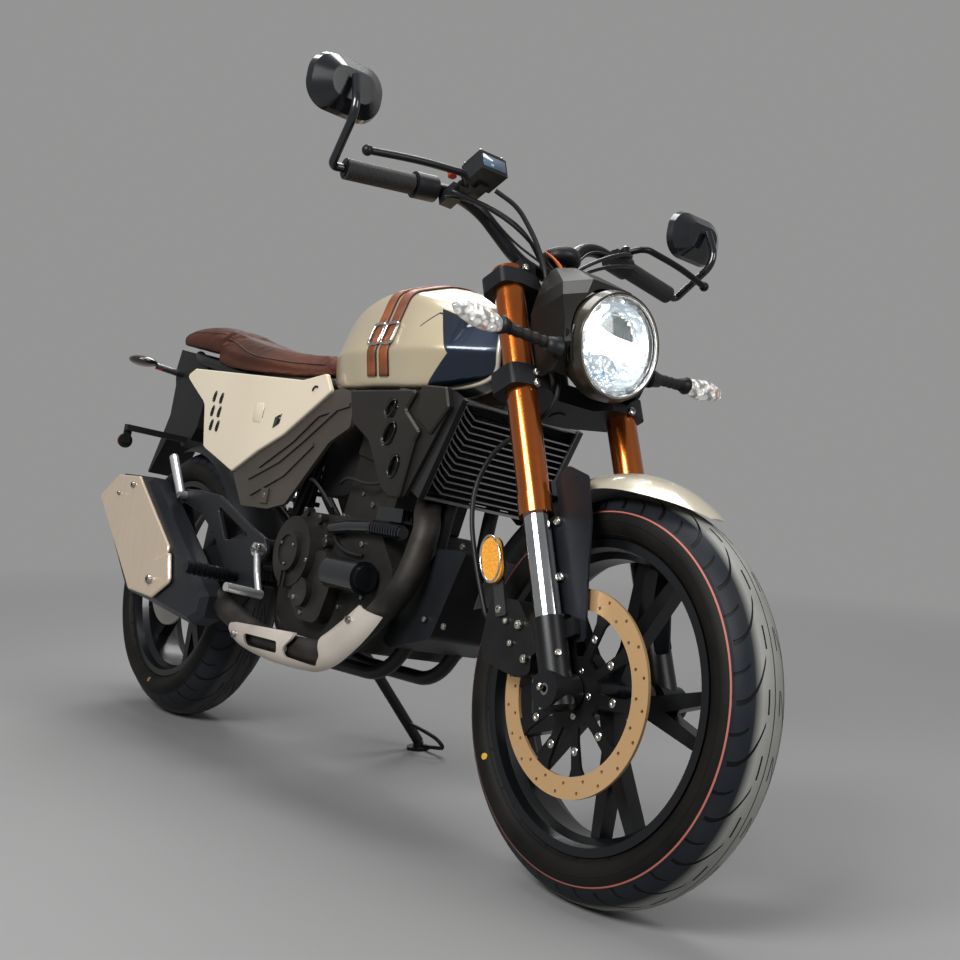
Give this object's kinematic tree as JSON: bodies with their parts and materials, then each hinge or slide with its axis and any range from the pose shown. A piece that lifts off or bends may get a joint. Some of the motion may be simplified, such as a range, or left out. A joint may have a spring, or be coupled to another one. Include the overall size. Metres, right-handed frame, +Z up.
{
  "type": "cafe racer motorcycle",
  "caption": "Cream and brown cafe racer motorcycle with orange inverted fork legs, a round lamp, bar-end mirrors and black cast wheels, leaning on its side stand.",
  "frame": {"origin": "middle of the bounding box, on the floor", "axes": "+X ahead along the machine, +Y to its left, +Z up; it leans to the left on its stand"},
  "size_m": [2.0265, 0.9319, 1.2629],
  "materials": {
    "tyre_rubber": "matt",
    "black_cast": "satin",
    "gold_steel": "satin",
    "steel": "satin",
    "orange_anodised": "gloss",
    "chrome": "gloss",
    "black_plastic": "matt",
    "cream_paint": "gloss",
    "black_rubber": "matt",
    "lamp_glass": "gloss",
    "clear_amber": "gloss",
    "olive_metal": "satin",
    "engine_metal": "satin",
    "cast_aluminium": "satin",
    "frame_paint": "gloss",
    "grey_plastic": "satin",
    "brown_leather": "satin",
    "header_steel": "satin",
    "mirror_black": "gloss"
  },
  "bodies": {
    "root": {"chain": "steel", "engine_block": "engine_metal", "front_sprocket": "steel", "top_end": "engine_metal", "engine_covers": "black_cast", "swingarm": "cast_aluminium", "rear_axle": "steel", "rear_shock": "chrome", "hugger": "black_plastic", "radiator": "black_cast", "radiator_guard": "cast_aluminium", "radiator_shrouds": "grey_plastic", "belly_plate": "black_plastic", "tank": "cream_paint", "seat": "brown_leather", "rear_pad": "brown_leather", "side_panels": "cream_paint", "side_covers": "grey_plastic", "tail_unit": "black_plastic", "rear_signals": "black_plastic", "exhaust_header": "header_steel", "exhaust_guard": "cast_aluminium", "muffler": "black_cast", "muffler_shield": "steel", "footrest_hangers": "cast_aluminium", "footrests": "cast_aluminium", "foot_controls": "cast_aluminium", "engine_fittings": "black_plastic", "frame": "frame_paint"},
    "fork": {"steering_clamps": "black_cast", "fork_outer_tubes": "orange_anodised", "fork_stanchions": "chrome", "fork_bottoms": "black_cast", "front_axle": "steel", "front_fender": "black_plastic", "fender_cap": "cream_paint", "fork_guards": "black_plastic", "front_caliper": "black_cast", "front_reflector": "clear_amber", "front_brake_hose": "black_rubber", "headlight_bucket": "olive_metal", "headlight_lens": "lamp_glass", "headlight_reflector": "chrome", "headlight_cowl": "black_plastic", "handlebar": "black_cast", "bar_risers": "black_cast", "grips": "black_rubber", "bar_controls": "black_plastic", "levers": "cast_aluminium", "mirrors": "mirror_black", "front_signals": "clear_amber"},
    "front_wheel": {"front_tyre": "tyre_rubber", "front_rim": "black_cast", "front_disc": "gold_steel", "front_disc_carrier": "black_cast"},
    "rear_wheel": {"rear_tyre": "tyre_rubber", "rear_rim": "black_cast", "rear_disc": "steel", "rear_sprocket": "steel"},
    "side_stand": {"side_stand": "black_cast"}
  },
  "joints": [
    {"name": "steering", "type": "hinge", "parent": "root", "child": "fork", "pos_m": [0.46788, -0.07651, 0.7217], "axis": [-0.424, 0.1635, 0.8908], "range_deg": [-32, 32]},
    {"name": "front_wheel_spin", "type": "hinge", "parent": "fork", "child": "front_wheel", "pos_m": [0.71306, -0.15464, 0.29593], "axis": [0, 0.9836, -0.1805], "continuous": true},
    {"name": "rear_wheel_spin", "type": "hinge", "parent": "root", "child": "rear_wheel", "pos_m": [-0.69693, -0.15338, 0.30312], "axis": [0, 0.9836, -0.1805], "continuous": true},
    {"name": "side_stand_swing", "type": "hinge", "parent": "root", "child": "side_stand", "pos_m": [-0.16195, -0.05331, 0.23889], "axis": [0.0001, 0.9368, 0.3498], "range_deg": [0, 95]}
  ]
}
